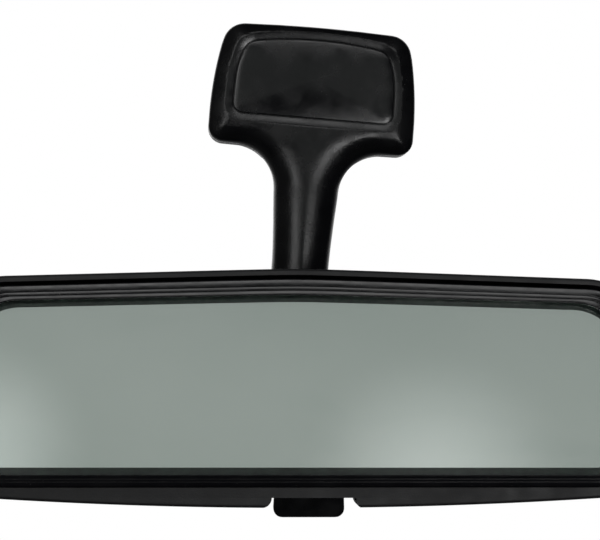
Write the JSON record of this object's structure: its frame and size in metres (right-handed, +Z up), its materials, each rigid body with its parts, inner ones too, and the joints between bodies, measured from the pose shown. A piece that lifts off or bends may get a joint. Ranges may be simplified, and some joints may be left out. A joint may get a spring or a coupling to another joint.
{
  "type": "interior rearview mirror",
  "caption": "Wide prismatic mirror head in a black housing, with a day and night lever below, hung on a ball joint from a moulded arm and screw-on base.",
  "frame": {"origin": "middle of the base's mounting face, on the face, midway between the two screws", "axes": "+X to the right as the driver sees it, +Y out of the mounting face, away from the driver, +Z up"},
  "size_m": [0.2417, 0.058, 0.1716],
  "materials": {
    "grained_abs": "fine grained black ABS, matt",
    "cover_abs": "black ABS, satin, slightly worn",
    "bezel_abs": "black ABS, glossy",
    "lever_abs": "black acetal, satin",
    "nylon": "natural nylon",
    "carrier_nylon": "glass filled nylon, dark grey",
    "zinc_steel": "zinc plated steel",
    "bright_steel": "polished steel",
    "spring_steel": "blued spring steel",
    "glass": "clear soda glass with a green tint",
    "silvering": "silvered back of the prism",
    "foam": "closed cell foam"
  },
  "bodies": {
    "base": {"base_arm": "grained_abs", "base_plate": "zinc_steel", "screw_sleeves": "zinc_steel", "screw_cover": "cover_abs", "ball_stud": "bright_steel", "stud_nut": "zinc_steel", "stud_cap": "grained_abs"},
    "rear_seat": {"rear_seat": "nylon"},
    "front_seat": {"front_seat": "nylon"},
    "carrier": {"socket_carrier": "carrier_nylon", "clamp_plate": "zinc_steel", "clamp_screws": "zinc_steel", "disc_spring": "spring_steel", "link_pin": "bright_steel"},
    "head": {"rear_housing": "grained_abs", "bezel": "bezel_abs", "prism_glass": "glass", "silver_backing": "silvering", "glass_pads": "foam", "pivot_pin": "bright_steel", "lever_pin": "bright_steel", "lever_spring": "spring_steel", "spring_screw": "zinc_steel"},
    "lever": {"day_night_lever": "lever_abs"}
  },
  "joints": [
    {"name": "ball_pitch", "type": "hinge", "parent": "base", "child": "rear_seat", "pos_m": [0, -0.034, -0.106], "axis": [1, 0, 0], "range_deg": [-14, 14]},
    {"name": "ball_roll", "type": "hinge", "parent": "rear_seat", "child": "front_seat", "pos_m": [0, -0.034, -0.106], "axis": [0, 1, 0], "range_deg": [-10, 10]},
    {"name": "ball_yaw", "type": "hinge", "parent": "front_seat", "child": "carrier", "pos_m": [0, -0.034, -0.106], "axis": [-0.0732, 0, 0.9973], "range_deg": [-16, 16]},
    {"name": "day_night_toggle", "type": "hinge", "parent": "carrier", "child": "head", "pos_m": [-0.00176, -0.042, -0.08206], "axis": [0.9973, 0, 0.0732], "range_deg": [-5, 0]},
    {"name": "lever_swing", "type": "hinge", "parent": "head", "child": "lever", "pos_m": [0.00666, -0.044, -0.13659], "axis": [0.9973, 0, 0.0732], "range_deg": [-30, 0]}
  ],
  "couplings": [
    {"joint": "lever_swing", "follows": "day_night_toggle", "ratio": 6}
  ]
}
